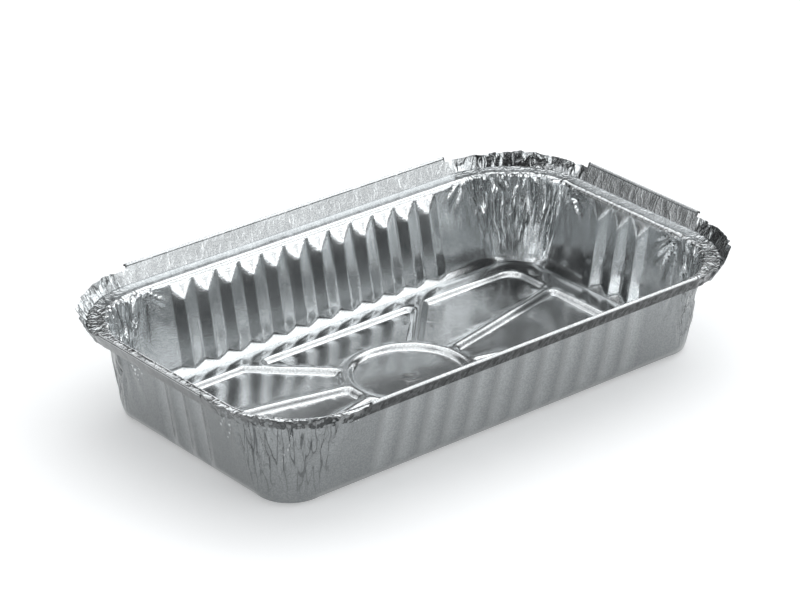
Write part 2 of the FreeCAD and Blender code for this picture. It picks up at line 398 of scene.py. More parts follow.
class FoldNoise:
    """Seeded noise for pressed foil, with coordinates in cells and values from -1 to 1."""

    def __init__(self, seed: int, cells: int = 97) -> None:
        """Draw the table of values."""
        self.cells = cells
        self.table = np.random.default_rng(seed).uniform(-1.0, 1.0, (cells, cells))

    def _corners(self, u: Array, v: Array) -> tuple[Array, ...]:
        """Cells that coordinates fall in.

        Args:
            u: first coordinate.
            v: second coordinate.

        Returns:
            Two cell numbers, two shares inside the cell and the values at its four corners.
        """
        i = np.floor(u).astype(int)
        j = np.floor(v).astype(int)
        corners = ((0, 0), (1, 0), (0, 1), (1, 1))
        values = [self.table[(i + a) % self.cells, (j + b) % self.cells] for a, b in corners]
        return i, j, u - i, v - j, *values

    def _strip(self, number: Array, v: Array) -> Array:
        """Values along strips of cells.

        Args:
            number: numbers of the strips.
            v: coordinate along them.

        Returns:
            Values that change softly from cell to cell.
        """
        j = np.floor(v).astype(int)
        share = ease(v - j)
        here = self.table[number % self.cells, j % self.cells]
        following = self.table[number % self.cells, (j + 1) % self.cells]
        return here * (1 - share) + following * share

    def facets(self, u: Array, v: Array) -> Array:
        """Noise of flat triangles with sharp folds between them.

        Args:
            u: first coordinate.
            v: second coordinate.

        Returns:
            Values of the noise.
        """
        i, j, fu, fv, a, b, c, d = self._corners(u, v)
        flip = (i + j) % 2 == 0
        fu = np.where(flip, 1.0 - fu, fu)
        a, b = np.where(flip, b, a), np.where(flip, a, b)
        c, d = np.where(flip, d, c), np.where(flip, c, d)
        lower = a + fu * (b - a) + fv * (c - a)
        upper = d + (1.0 - fu) * (c - d) + (1.0 - fv) * (b - d)
        return np.where(fu + fv < 1.0, lower, upper)

    def smooth(self, u: Array, v: Array) -> Array:
        """Rounded noise.

        Args:
            u: first coordinate.
            v: second coordinate.

        Returns:
            Values of the noise.
        """
        _, _, fu, fv, a, b, c, d = self._corners(u, v)
        fu, fv = ease(fu), ease(fv)
        return (a * (1 - fu) + b * fu) * (1 - fv) + (c * (1 - fu) + d * fu) * fv

    def leaves(self, u: Array, v: Array) -> Array:
        """Long rounded leaves, 1 on a leaf and -1 in the sharp groove beside it."""
        return 2.0 * np.sqrt(np.abs(self.smooth(u, v))) - 1.0

    def plates(self, u: Array, v: Array, edge: float) -> Array:
        """Flat plates with steep steps between them, as in folded pleats.

        Args:
            u: coordinate across the plates.
            v: coordinate along them.
            edge: share of a cell that a step takes.

        Returns:
            Values of the noise.
        """
        i = np.floor(u).astype(int)
        share = ease(np.clip((u - i - 1.0 + edge) / edge, 0.0, 1.0))
        return self._strip(i, v) * (1 - share) + self._strip(i + 1, v) * share

    def shingles(self, u: Array, v: Array, edge: float) -> Array:
        """Slanting strips that overlap with sharp steps, like gathered foil.

        Args:
            u: coordinate across the strips.
            v: coordinate along them.
            edge: share of a cell that a step takes.

        Returns:
            Values of the noise.
        """
        i = np.floor(u).astype(int)
        share = u - i
        here, following = self._strip(i, v), self._strip(i + 1, v)
        slant = here * (1.0 - 2.0 * share / (1.0 - edge))
        jump = np.clip((share - 1.0 + edge) / edge, 0.0, 1.0)
        return np.where(share < 1.0 - edge, slant, -here * (1 - jump) + following * jump)


@dataclass(frozen=True)
class Fold:
    """Layer of folds: its height and the size of its cells, in millimetres.

    Start moves it to another part of the noise, and edge is the share of a cell that a
    sharp step takes, for the kinds of noise that have steps.
    """

    height: float
    around: float
    up: float
    start: float = 0.0
    edge: float | None = None

    def over(
        self, kind: Callable[..., Array], around: Array, up: Array, growth: float = 0.0
    ) -> Array:
        """Shift of the sheet by this layer.

        Args:
            kind: method of a noise that gives the folds their form.
            around: distance round the tray.
            up: distance up the sheet.
            growth: height added to the layer's own.

        Returns:
            Shifts in millimetres.
        """
        edge = () if self.edge is None else (self.edge,)
        form = kind(around / self.around + self.start, up / self.up, *edge)
        return (self.height + growth) * form


def ease(share: Array) -> Array:
    """Smooth step of values from 0 to 1."""
    return share * share * (3.0 - 2.0 * share)


def step(value: Array | float, low: float, high: float) -> Array:
    """Smooth step between two values."""
    return ease(np.clip((value - low) / (high - low), 0.0, 1.0))


def soft_least(first: Array, second: Array, width: float) -> Array:
    """Smaller of two values, rounded where they meet.

    Args:
        first: first values.
        second: second values.
        width: difference over which the corner is rounded.

    Returns:
        The rounded smaller values.
    """
    share = np.clip(0.5 + 0.5 * (second - first) / width, 0.0, 1.0)
    return second * (1 - share) + first * share - width * share * (1 - share)


def soft_share(value: Array, width: float) -> Array:
    """Values kept from 0 to 1, rounded at both ends."""
    value = -soft_least(-value, np.zeros_like(value), width)
    return soft_least(value, np.ones_like(value), width)


@dataclass(frozen=True)
class Column:
    """Line of the sheet from the floor to the rim, in a corner or on a straight side.

    Outward points away from the middle of the tray, and travel is the distance round the
    ledge. In a corner there are its signs and the share of its turn, which is -1 on a side.
    A side has its direction, a place that is the same on every loop, a share of its
    straight half length, and the number of its kind.
    """

    outward: Pair
    travel: float
    corner: Pair = (0.0, 0.0)
    turn: float = -1.0
    along: Pair = (0.0, 0.0)
    fixed: float = 0.0
    sliding: float = 0.0
    side: float = 0.0


class Columns:
    """All columns round the tray, with an array for each of their values."""

    def __init__(self, columns: list[Column]) -> None:
        """Fill the arrays, and mark the corners and the kinds of sides.

        Args:
            columns: columns in their order round the tray.
        """
        for value in fields(Column):
            setattr(self, value.name, np.array([getattr(one, value.name) for one in columns]))
        self.on_corner = self.turn >= 0.0
        self.on_long = self.side == Side.LONG.value
        self.on_short = self.side == Side.SHORT.value

    def in_corner(self, signs: Pair) -> Array:
        """Whether each column is in the corner with these signs."""
        return (self.corner == np.array(signs)).all(axis=1)

    def on(self, loop: Loop) -> Array:
        """Places of all columns on a loop.

        Args:
            loop: loop in plan.

        Returns:
            One row of two coordinates for each column.
        """
        half = np.array([loop.half_length, loop.half_width])
        straight = half - loop.radius
        on_side = self.outward * half + self.along * (
            self.fixed[:, None] + self.sliding[:, None] * straight
        )
        at_corner = self.corner * straight + self.outward * loop.radius
        return np.where(self.on_corner[:, None], at_corner, on_side)


@dataclass
class TraySizes:
    """Sizes of the tray, in millimetres.

    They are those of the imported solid, apart from the flutes, which are deeper here with
    wider flats between them, and on the long walls shifted along the wall.
    """

    thickness: float = 0.12
    rim: Loop = Loop(125.0, 75.5, 43.0)
    panel_depth: float = 1.8
    wall_foot: float = 4.9
    ledge: float = 39.9
    top: float = 47.0
    ledge_edge_drop: float = 1.0
    flute_top_drop: float = 6.9
    corner_rim_drop: float = 2.1
    upright_run: float = 3.2
    ledge_width: float = 7.4
    ledge_edge_run: float = 0.7
    long_wall_run: float = 7.3
    short_wall_run: float = 5.6
    chamfer_run: float = 2.1
    foot_radius: float = 19.0
    hem_radius: float = 0.55
    flute_pitch: float = 11.45
    flute_depth: float = 1.3
    flute_flat: float = 1.3
    crest_flat: float = 0.6
    flute_shift: float = 0.8
    plain_wall: float = 12.5

    def __post_init__(self) -> None:
        """Work out the loops and levels that follow from the sizes."""
        half_sheet = self.thickness / 2.0
        self.ledge_outer = self.rim.inset(self.upright_run)
        self.ledge_inner = self.rim.inset(self.upright_run + self.ledge_width)
        self.wall_top_loop = self.ledge_inner.inset(self.ledge_edge_run)
        self.foot_loop = Loop(
            self.wall_top_loop.half_length - self.short_wall_run,
            self.wall_top_loop.half_width - self.long_wall_run,
            self.foot_radius,
        )
        self.wall_top = self.ledge - self.ledge_edge_drop
        self.floor_level = self.panel_depth + half_sheet
        self.ledge_level = self.ledge - half_sheet
        self.hem_centre = self.top - half_sheet - self.hem_radius
        self.upright_rise = self.hem_centre - self.ledge_level
        self.upright_slant = math.hypot(self.upright_run, self.upright_rise)
        bead_rise = self.hem_radius * self.upright_run / self.upright_slant
        self.upright_top = self.hem_centre + bead_rise
        corner_top = self.top - self.corner_rim_drop
        self.corner_share = (corner_top - self.ledge_level) / (self.upright_top - self.ledge_level)

    def flute_count(self, kind: Side) -> int:
        """Number of flutes on a side.

        Args:
            kind: kind of the side.

        Returns:
            How many whole flutes fit between the plain ends.
        """
        loop = self.wall_top_loop
        half = loop.half_length if kind is Side.LONG else loop.half_width
        return int(2.0 * (half - loop.radius - self.plain_wall) / self.flute_pitch)


@dataclass(frozen=True)
class Rays:
    """Folds that fan out from a corner: their reach, waves in a radian and height."""

    reach: float
    waves: float
    height: float


@dataclass
class SheetRows:
    """Rows of the walls, the ledge and the rim, one above the other.

    Sizes are in millimetres. Pairs named a rise or a fade say from where to where it goes.
    """

    sizes: TraySizes
    columns: Columns
    noise: dict[str, FoldNoise] = field(default_factory=dict)

    noise_names: tuple[str, ...] = (
        "warp", "large", "middle", "small", "rim", "edge", "ledge", "leaf",
    )
    first_seed: int = 40
    wall_heights: tuple[float, ...] = (
        1.86, 2.3, 2.9, 3.6, 4.3, 5.0, 6.0, 7.5, 9.5, 12.0, 14.5, 17.0, 19.5, 22.0, 24.5,
        26.6, 28.6, 30.3, 31.4, 32.4, 33.6, 34.9, 36.2, 37.4, 38.3,
    )

    corner_fade: Pair = (-0.03, 0.12)
    wide_bend: Fold = Fold(1.7, 8.0, 10.0)
    fine_bend: Fold = Fold(0.6, 3.1, 4.0, start=40.0)
    upward_bend: Fold = Fold(1.6, 5.0, 9.0, start=20.0)

    crumple_depth: float = 1.1
    crumple_start: float = 4.5
    crumple_reach: float = 17.0
    crumple_power: float = 0.9
    high_start: float = 20.0
    high_reach: float = 18.0
    calm_corner: Pair = (-1.0, -1.0)
    calm_share: float = 0.6
    large_folds: Fold = Fold(0.35, 7.3, 13.0)
    large_growth: float = 0.55
    pleats: Fold = Fold(0.5, 3.1, 16.0, edge=0.16)
    leaves: Fold = Fold(1.05, 4.3, 16.0)
    small_folds: Fold = Fold(0.2, 1.6, 7.5)
    small_growth: float = 0.25

    long_rays: Rays = Rays(15.0, 13.0, 0.45)
    short_rays: Rays = Rays(21.0, 19.0, 0.65)
    ray_margin: float = 0.5
    ray_lift: float = 2.0
    ray_start: Pair = (0.0, 4.0)
    ray_end: Pair = (7.0, 12.0)
    ray_angles: Pair = (1.0, 1.35)
    ray_power: float = 0.7
    ray_bend: float = 0.8
    ray_bend_waves: float = 5.0
    ray_bend_travel: float = 0.01

    # Painted shade low on one flank of each flute of the long sides.
    flank_shade: float = 0.55
    flank: Pair = (0.27, 5.2)
    flank_shade_rise: Pair = (3.0, 5.0)
    flank_shade_fade: Pair = (15.0, 27.0)
    flute_rounding: float = 0.08
    shoulder_rounding: float = 0.1
    shoulder_gap: float = 0.7
    foot_share: float = 0.5
    foot_rise: Pair = (2.0, 9.0)
    dimple_places: tuple[Pair, ...] = ((-17.2, 13.2), (-5.7, 14.6), (5.7, 13.8), (17.2, 12.6))
    dimple_radius: float = 1.7
    dimple_depth: float = 0.5
    chamfer_ease: float = 0.19
    corner_tuck: float = 0.68
    foot_rounding: float = 0.4

    edge_share: float = 0.35
    edge_rise: float = 0.62
    edge_crumple: float = 0.8
    ledge_crumple: float = 0.35
    ledge_calm: float = 0.35
    ledge_outline: tuple[Pair, ...] = (
        (0.0, 0.0), (0.55, 0.24), (1.15, 0.30), (1.8, 0.20), (2.5, 0.02), (3.9, -0.04),
        (5.2, 0.0), (6.0, 0.03), (6.6, 0.16), (7.1, 0.10),
    )
    ledge_wrinkles: Fold = Fold(0.2, 1.9, 3.4)
    ledge_waves: Fold = Fold(0.09, 3.2, 2.2)
    short_ledge_folds: Fold = Fold(0.13, 2.1, 2.0)

    rim_rise: float = 7.0
    rim_rows: int = 6
    neck: float = 0.075
    rim_fold_depth: float = 0.95
    rim_pleats: Fold = Fold(0.7, 3.1, 16.0, edge=0.24)
    rim_plates: Fold = Fold(0.6, 4.6, 6.0, edge=0.16)
    rim_folds: Fold = Fold(0.75, 1.9, 2.6)
    rim_foot_swell: float = 0.3
    rim_bulge: float = 1.5
    ticks: Fold = Fold(0.13, 1.1, 1.0)
    tick_start: float = 3.0
    teeth: Fold = Fold(0.75, 2.3, 9.0, start=9.0, edge=0.3)
    teeth_fall: float = 3.0
    jags: Fold = Fold(0.5, 4.2, 30.0, start=30.0)
    jag_plates: Fold = Fold(0.3, 4.6, 6.0, edge=0.16)

    bead_radius: float = 0.6
    bead_out: float = 0.42
    bead_up: float = -0.12
    bead_start: float = math.radians(-50.0)
    bead_end: float = math.radians(205.0)
    bead_steps: int = 8

    def __post_init__(self) -> None:
        """Seed the noises."""
        for number, name in enumerate(self.noise_names):
            self.noise[name] = FoldNoise(self.first_seed + number)

    def corner_weight(self) -> Array:
        """Weight of the crumpling at each column, 1 in a corner and 0 on a side."""
        inside = np.minimum(self.columns.turn, 1.0 - self.columns.turn)
        return np.where(self.columns.on_corner, step(inside, *self.corner_fade), 0.0)

    def corner_bulge(self) -> Array:
        """Rounded weight that is 1 in the middle of a corner and 0 from its ends on."""
        return np.where(self.columns.on_corner, np.sin(math.pi * self.columns.turn), 0.0)

    def near_corner(self) -> Array:
        """Distance of each column from the nearest end of a corner.

        Returns:
            Distances in millimetres, 0 in a corner.
        """
        loop = self.sizes.wall_top_loop
        half = np.where(self.columns.on_long, loop.half_length, loop.half_width)
        straight = half - loop.radius
        place = self.columns.fixed + self.columns.sliding * straight
        return np.where(self.columns.on_corner, 0.0, straight - np.abs(place))

    def warped(self, height: float) -> tuple[Array, Array]:
        """Coordinates bent so that folds run crooked.

        Args:
            height: distance up the sheet.

        Returns:
            Distances round the tray and up the sheet, one for each column.
        """
        travel = self.columns.travel
        up = np.full_like(travel, height)
        smooth = self.noise["warp"].smooth
        around = travel + self.wide_bend.over(smooth, travel, up)
        around = around + self.fine_bend.over(smooth, travel, up)
        return around, up + self.upward_bend.over(smooth, travel, up)

    def crumple(self, height: float) -> Array:
        """Pressed folds in the corner walls.

        Args:
            height: height of the row.

        Returns:
            Outward shift of each column.
        """
        around, up = self.warped(height)
        noise = self.noise
        high = np.clip((height - self.high_start) / self.high_reach, 0.0, 1.0)
        shape = (
            self.large_folds.over(noise["large"].facets, around, up, self.large_growth * high)
            + self.pleats.over(noise["middle"].shingles, around, up)
            + self.leaves.over(noise["leaf"].leaves, around, up)
            + self.small_folds.over(noise["small"].facets, around, up, self.small_growth * high)
        )
        rise = np.clip((height - self.crumple_start) / self.crumple_reach, 0.0, 1.0)
        calm = np.where(self.columns.in_corner(self.calm_corner), self.calm_share, 1.0)
        rise = rise**self.crumple_power
        return self.crumple_depth * shape * rise * self.corner_weight() * calm

    def corner_rays(self, height: float) -> Array:
        """Soft folds that fan out over the plain wall from the top of a corner.

        Args:
            height: height of the row.

        Returns:
            Outward shift of each column.
        """
        distance = self.near_corner()
        away = distance + self.ray_margin
        drop = self.sizes.wall_top + self.ray_lift - height
        reach = np.hypot(away, drop)
        angle = np.arctan2(away, drop)
        short, long = self.short_rays, self.long_rays
        on_short = self.columns.on_short
        length = np.where(on_short, short.reach, long.reach)
        fade = np.exp(-((reach / length) ** 2)) * step(reach, *self.ray_start)
        bend = np.sin(angle * self.ray_bend_waves + self.columns.travel * self.ray_bend_travel)
        waves = np.where(on_short, short.waves, long.waves)
        wave = np.sin(angle * waves + self.ray_bend * bend)
        wave = np.sign(wave) * np.abs(wave) ** self.ray_power
        fade *= (1.0 - step(distance, *self.ray_end)) * (1.0 - step(angle, *self.ray_angles))
        depth = np.where(on_short, short.height, long.height)
        return depth * wave * fade * np.where(self.columns.on_corner, 0.0, 1.0)

    def from_ridge(self) -> Array:
        """Distance of each column from the nearest flute's ridge.

        Returns:
            Signed distances in millimetres.
        """
        sizes = self.sizes
        counts = (sizes.flute_count(Side.LONG), sizes.flute_count(Side.SHORT))
        count = np.where(self.columns.on_long, *counts)
        pitch = sizes.flute_pitch
        offset = (count % 2 == 0) * pitch / 2.0
        place = self.columns.fixed - sizes.flute_shift * self.columns.on_long
        return (place + offset + pitch / 2.0) % pitch - pitch / 2.0

    def shaded_flank(self, height: float) -> Array:
        """Painted shade low on one flank of each flute of the long sides.

        Args:
            height: height of the row.

        Returns:
            Painted shade of each column.
        """
        away = self.from_ridge()
        fluted = self.columns.on_long & (self.columns.sliding == 0.0)
        low = float(step(height, *self.flank_shade_rise) * (1.0 - step(height, *self.flank_shade_fade)))
        start, end = self.flank
        return self.flank_shade * low * (fluted & (away > start) & (away < end))

    def flute(self, height: float) -> Array:
        """Flutes of the walls.

        Args:
            height: height of the row.

        Returns:
            Inward shift of each column.
        """
        sizes = self.sizes
        flank_end = (sizes.flute_pitch - sizes.flute_flat) / 2.0
        flank_run = flank_end - sizes.crest_flat / 2.0
        share = (flank_end - np.abs(self.from_ridge())) / flank_run
        share = soft_share(share, self.flute_rounding)
        inside = (self.columns.sliding == 0.0) & ~self.columns.on_corner
        foot = self.foot_share + (1.0 - self.foot_share) * float(step(height, *self.foot_rise))
        foot = np.where(self.columns.on_long, foot, 1.0)
        depth = share * sizes.flute_depth * inside * foot
        drop = sizes.wall_top - self.shoulder_gap - height
        ramp = max(0.0, drop / (sizes.flute_top_drop - self.shoulder_gap)) * sizes.flute_depth
        depth = soft_least(depth, np.full_like(depth, ramp), self.shoulder_rounding)
        return np.maximum(depth, 0.0)

    def dimples(self, height: float, points: Array) -> Array:
        """Small round dents near the foot of the short walls.

        Args:
            height: height of the row.
            points: plan points of the row.

        Returns:
            Inward shift of each column.
        """
        shift = np.zeros(len(points))
        for across, up in self.dimple_places:
            away = np.hypot(points[:, 1] - across, height - up)
            shift += np.exp(-((away / self.dimple_radius) ** 2))
        return self.dimple_depth * shift * self.columns.on_short

    def wall_row(self, height: float) -> Array:
        """One row of the wall and the chamfer below it.

        Args:
            height: height of the row.

        Returns:
            Its points.
        """
        sizes = self.sizes
        share = (height - sizes.wall_foot) / (sizes.wall_top - sizes.wall_foot)
        plan = self.columns.on(sizes.foot_loop.towards(sizes.wall_top_loop, share))
        slope = sizes.chamfer_run / (sizes.wall_foot - sizes.floor_level) - self.chamfer_ease
        shift = -self.flute(height) + self.crumple(height) + self.corner_rays(height)
        shift -= self.dimples(height, plan)
        tuck = 1.0 - self.corner_tuck * self.corner_bulge()
        shift = soft_least(shift, slope * (height - sizes.wall_foot) * tuck, self.foot_rounding)
        return self.lifted(plan, shift, height)

    def lifted(self, plan: Array, shift: Array | float, height: Array | float) -> Array:
        """Row of points.

        Args:
            plan: places of the columns on a loop.
            shift: outward shift of all columns, or one for each.
            height: height of all columns, or one for each.

        Returns:
            The points.
        """
        moved = plan + self.columns.outward * np.broadcast_to(shift, len(plan))[:, None]
        return np.column_stack([moved, np.broadcast_to(height, len(plan))])

    def ledge_rows(self) -> list[Array]:
        """Rows of the ledge, with a low bead along each edge.

        Returns:
            Rows from the wall's top outwards.
        """
        sizes = self.sizes
        travel = self.columns.travel
        weight = self.corner_weight()
        crumple = self.crumple(sizes.wall_top)
        edge = self.columns.on(sizes.wall_top_loop.towards(sizes.ledge_inner, self.edge_share))
        shift = crumple * self.edge_crumple - self.flute(sizes.wall_top)
        rows = [self.lifted(edge, shift, sizes.wall_top + self.edge_rise)]
        for run, rise in self.ledge_outline:
            share = run / sizes.ledge_width
            plan = self.columns.on(sizes.ledge_inner.towards(sizes.ledge_outer, share))
            around, up = self.warped(sizes.ledge + run)
            middle = math.sin(math.pi * min(1.0, share))
            folded = self.ledge_wrinkles.over(self.noise["ledge"].facets, around, up)
            folded = folded * (self.ledge_calm + middle)
            runs = np.full_like(up, run)
            waves = self.ledge_waves.over(self.noise["ledge"].smooth, travel, runs)
            on_short = self.short_ledge_folds.over(self.noise["edge"].facets, travel, up)
            waves = waves + on_short * self.columns.on_short
            height = sizes.ledge_level + rise + folded * weight + waves * middle
            rows.append(self.lifted(plan, crumple * self.ledge_crumple * (1.0 - share), height))
        return rows

    def upright_rows(self) -> list[Array]:
        """Rows of the upright rim, folded in the corners.

        Returns:
            Rows from the ledge upwards. The last two are on the straight sides alone.
        """
        sizes, noise = self.sizes, self.noise
        weight = self.corner_weight()
        low = self.columns.on(sizes.ledge_outer)
        high = self.columns.on(sizes.rim)
        rows = []
        shares = [sizes.corner_share * row / self.rim_rows for row in range(self.rim_rows + 1)]
        shares += [(1.0 + sizes.corner_share) / 2.0, 1.0 - self.neck]
        for share in shares:
            up_sheet = sizes.ledge + sizes.ledge_width + share * self.rim_rise
            around, up = self.warped(up_sheet)
            folds = (
                self.rim_pleats.over(noise["middle"].shingles, around, up)
                + self.rim_plates.over(noise["rim"].plates, around, up)
                + self.rim_folds.over(noise["edge"].facets, around, up)
            )
            swell = min(1.0, self.rim_foot_swell + share)
            shift = self.rim_fold_depth * swell * folds * weight
            shift += self.rim_bulge * share * self.corner_bulge()
            level = np.full_like(around, self.tick_start + share)
            ticks = self.ticks.over(noise["small"].facets, self.columns.travel, level)
            shift = shift + ticks * math.sin(math.pi * share) * (1.0 - weight)
            height = sizes.ledge_level * (1 - share) + sizes.upright_top * share
            teeth = -np.abs(self.teeth.over(noise["edge"].plates, around, up)) * weight
            jags = self.jags.over(noise["rim"].facets, around, up) * weight
            jags += self.jag_plates.over(noise["rim"].plates, around, up) * weight
            fall = max(0.0, 1.0 - share * self.teeth_fall)
            climb = min(1.0, share / sizes.corner_share) ** 2
            plan = low * (1 - share) + high * share
            rows.append(self.lifted(plan, shift, height + teeth * fall + jags * climb))
        return rows

    def hem_rows(self) -> list[Array]:
        """Rows of the curl outside the rim.

        Returns:
            Rows from the rim's top round the bead.
        """
        sizes = self.sizes
        out_part = sizes.upright_rise / sizes.upright_slant
        up_part = sizes.upright_run / sizes.upright_slant
        top = self.columns.on(sizes.rim)
        rows = []
        for number in range(1, self.bead_steps + 1):
            angle = self.bead_start + (self.bead_end - self.bead_start) * number / self.bead_steps
            away = self.bead_out - self.bead_radius * math.cos(angle)
            along = self.bead_up + self.bead_radius * math.sin(angle)
            height = sizes.upright_top - away * up_part + along * out_part
            rows.append(self.lifted(top, away * out_part + along * up_part, height))
        return rows


# ----------------------------------------------------------------------- floor


@dataclass
class FloorPress:
    """Embossed floor: pressed panels between a border, a ring and straight ribs.

    Sizes are in millimetres.
    """

    sizes: TraySizes
    border_length: float = 10.4
    border_width: float = 8.2
    corner_radius: float = 8.0
    rib_width: float = 2.4
    ring_outer: float = 27.0
    ring_width: float = 2.6
    first_rib: float = 13.5
    second_rib: float = 46.0
    panel_radius: float = 3.2
    slope_run: float = 1.9
    rounding: float = 0.7
    dome_height: float = 1.1
    dome_run: Pair = (80.0, 46.0)
    dome_fall: float = 1.3
    dome_edge: float = 0.2
    noise_seed: int = 77
    wide_waves: Fold = Fold(0.16, 17.0, 13.0)
    fine_waves: Fold = Fold(0.05, 6.0, 6.0, start=30.0)
    wave_lift: float = 0.09
    wave_edge: float = 0.12
    mark_place: Pair = (-1.0, -1.5)
    mark_radius: float = 3.0
    mark_width: float = 0.55
    mark_height: float = 0.10
    mark_rings: tuple[float, ...] = (2.2, 3.0, 3.8)
    mark_points: int = 22
    ring_points: int = 140
    spacing: float = 1.4
    slope_lines: tuple[float, ...] = (-0.55, 0.0, 0.45, 0.95, 1.45, 1.95, 2.5)
    lattice: float = 3.6
    rim_gap: float = 1.2
    line_gap: float = 1.3
    join_distance: float = 0.02

    def outlines(self) -> list[Array]:
        """Top outlines of the nine pressed areas.

        Returns:
            Closed rows of plan points, evenly spaced.
        """
        angles = [self.first_rib, self.second_rib, 180.0 - self.second_rib, 180.0 - self.first_rib]
        angles += [angle + 180.0 for angle in angles]
        shapes = []
        for number, angle in enumerate(angles):
            shapes.append(self._panel(angle, angles[(number + 1) % len(angles)]))
        shapes.append(self._circle(self.ring_outer - self.ring_width, self.ring_points))
        return [self._even(shape) for shape in shapes]

    @staticmethod
    def _circle(radius: float, count: int) -> Array:
        """Points of a circle round the middle."""
        around = np.linspace(0.0, 2.0 * math.pi, count, endpoint=False)
        return np.column_stack([np.cos(around), np.sin(around)]) * radius

    def _edge(self, degrees: float, side: float) -> tuple[Array, Array, bool]:
        """Edge of a rib.

        Args:
            degrees: angle of the rib.
            side: 1 for the edge on its left, -1 for the one on its right.

        Returns:
            Its inner and outer end, and whether it ends on a short side.
        """
        angle = math.radians(degrees)
        direction = np.array([math.cos(angle), math.sin(angle)])
        shift = np.array([-direction[1], direction[0]]) * side * self.rib_width / 2.0
        half = self._half()
        inner = direction * math.sqrt(self.ring_outer**2 - (self.rib_width / 2.0) ** 2) + shift
        reach = (np.copysign(half, direction) - shift) / direction
        return inner, direction * reach.min() + shift, bool(reach[0] < reach[1])

    def _half(self) -> Array:
        """Size of the area inside the border.

        Returns:
            Half length and half width.
        """
        loop = self.sizes.foot_loop.inset(self.sizes.chamfer_run)
        border = (self.border_length, self.border_width)
        return np.array([loop.half_length, loop.half_width]) - border

    def _panel(self, first: float, second: float) -> Array:
        """Outline of the panel between two ribs, with round corners.

        Args:
            first: angle of the rib before it, in degrees.
            second: angle of the rib after it, in degrees.

        Returns:
            Closed row of plan points.
        """
        first_in, first_out, first_short = self._edge(first, 1.0)
        second_in, second_out, second_short = self._edge(second, -1.0)
        radius = self.panel_radius
        start = math.atan2(first_in[1], first_in[0])
        end = math.atan2(second_in[1], second_in[0])
        end += 2.0 * math.pi * (end < start)
        corners = [(first_out, radius)]
        if first_short != second_short:
            corners.append((np.copysign(self._half(), first_out), self.corner_radius))
        corners.append((second_out, radius))
        turn = radius / self.ring_outer
        arc = [self._ring(angle) for angle in np.linspace(end - turn, start + turn, 12)]
        first_near = first_in + self._way(first_out - first_in) * radius
        second_near = second_in + self._way(second_out - second_in) * radius
        points = [*self._bend(self._ring(start + turn), first_in, first_near)]
        line = [first_in, *[corner for corner, _ in corners], second_in]
        for before, (corner, size), after in zip(line[:-2], corners, line[2:]):
            points.extend(self._round(before, corner, after, size))
        points.extend(self._bend(second_near, second_in, arc[0]))
        points.extend(arc[1:-1])
        return np.array(points)

    def _ring(self, angle: float) -> Array:
        """Point on the outer edge of the ring."""
        return np.array([math.cos(angle), math.sin(angle)]) * self.ring_outer

    @staticmethod
    def _way(arrow: Array) -> Array:
        """Arrow of length 1."""
        return arrow / np.linalg.norm(arrow)

    @staticmethod
    def _bend(start: Array, control: Array, end: Array) -> list[Array]:
        """Points of a smooth bend that heads for a control point from either end."""
        shares = np.linspace(0.0, 1.0, 8)
        return [start * (1 - t) ** 2 + control * 2 * t * (1 - t) + end * t * t for t in shares]

    def _round(self, before: Array, corner: Array, after: Array, radius: float) -> list[Array]:
        """Points of an arc that rounds a corner.

        Args:
            before: point before the corner.
            corner: the corner.
            after: point after it.
            radius: radius of the arc.

        Returns:
            Plan points from one line to the other.
        """
        one, two = self._way(before - corner), self._way(after - corner)
        half = math.acos(float(np.clip(one @ two, -1.0, 1.0))) / 2.0
        centre = corner + self._way(one + two) * radius / math.sin(half)
        arm = corner + one * radius / math.tan(half) - centre
        points = []
        for share in np.linspace(0.0, 1.0, 10):
            angle = (math.pi - 2.0 * half) * share
            cos, sin = math.cos(angle), math.sin(angle)
            turned = np.array([arm[0] * cos - arm[1] * sin, arm[0] * sin + arm[1] * cos])
            points.append(centre + turned)
        return points

    def _even(self, shape: Array) -> Array:
        """Space the points of an outline evenly.

        Args:
            shape: closed outline.

        Returns:
            The same outline with new points.
        """
        closed = np.vstack([shape, shape[:1]])
        lengths = np.hypot(*np.diff(closed, axis=0).T)
        run = np.concatenate([[0.0], np.cumsum(lengths)])
        count = int(run[-1] / self.spacing)
        places = np.arange(count) * run[-1] / count
        return np.column_stack([np.interp(places, run, closed[:, axis]) for axis in (0, 1)])

    @staticmethod
    def _offset(shape: Array, distance: float) -> Array:
        """Move an outline inwards.

        Args:
            shape: closed outline.
            distance: distance inwards.

        Returns:
            The moved outline.
        """
        way = np.roll(shape, -1, axis=0) - np.roll(shape, 1, axis=0)
        way /= np.hypot(way[:, 0], way[:, 1])[:, None]
        return shape + np.column_stack([-way[:, 1], way[:, 0]]) * distance

    @staticmethod
    def depth_inside(points: Array, shape: Array) -> Array:
        """Distance of points inside an outline, negative outside it.

        Args:
            points: plan points.
            shape: closed outline.

        Returns:
            One distance for each point.
        """
        start, end = shape, np.roll(shape, -1, axis=0)
        edge = end - start
        rest = points[:, None, :] - start[None]
        share = np.clip((rest * edge).sum(2) / (edge**2).sum(1), 0.0, 1.0)
        gap = np.hypot(*np.moveaxis(rest - share[..., None] * edge, 2, 0)).min(1)
        above_start = start[None, :, 1] > points[:, None, 1]
        above_end = end[None, :, 1] > points[:, None, 1]
        rise = np.where(edge[:, 1] == 0.0, 1.0, edge[:, 1])
        crossing = start[:, 0] + (points[:, None, 1] - start[:, 1]) / rise * edge[:, 0]
        hits = (above_start != above_end) & (points[:, None, 0] < crossing)
        return np.where(hits.sum(1) % 2 == 1, gap, -gap)

